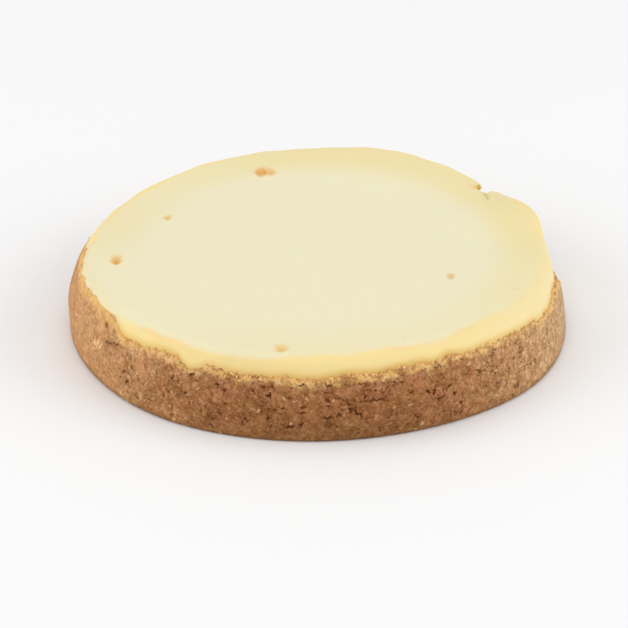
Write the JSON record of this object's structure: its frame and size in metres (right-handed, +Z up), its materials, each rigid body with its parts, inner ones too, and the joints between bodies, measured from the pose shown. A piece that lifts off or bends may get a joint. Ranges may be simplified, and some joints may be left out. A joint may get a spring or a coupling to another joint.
{
  "type": "baked cheesecake",
  "caption": "Whole round baked cheesecake: a low disc of set pale cheese filling in a cup of pressed biscuit crumb, with a worn and slightly sunk edge.",
  "frame": {"origin": "centre of the round underside, on the surface that the cake rests on", "axes": "+Z up through the middle of the cake; -Y is the front, +X is to the right of the front"},
  "size_m": [0.2029, 0.2028, 0.0383],
  "materials": {
    "crumb": "rough pressed biscuit crumb, dry and matte",
    "filling": "smooth set cheese, soft satin, paler in the middle than at the edge"
  },
  "bodies": {
    "root": {"crumb_crust": "crumb", "cheese_filling": "filling"}
  },
  "joints": []
}
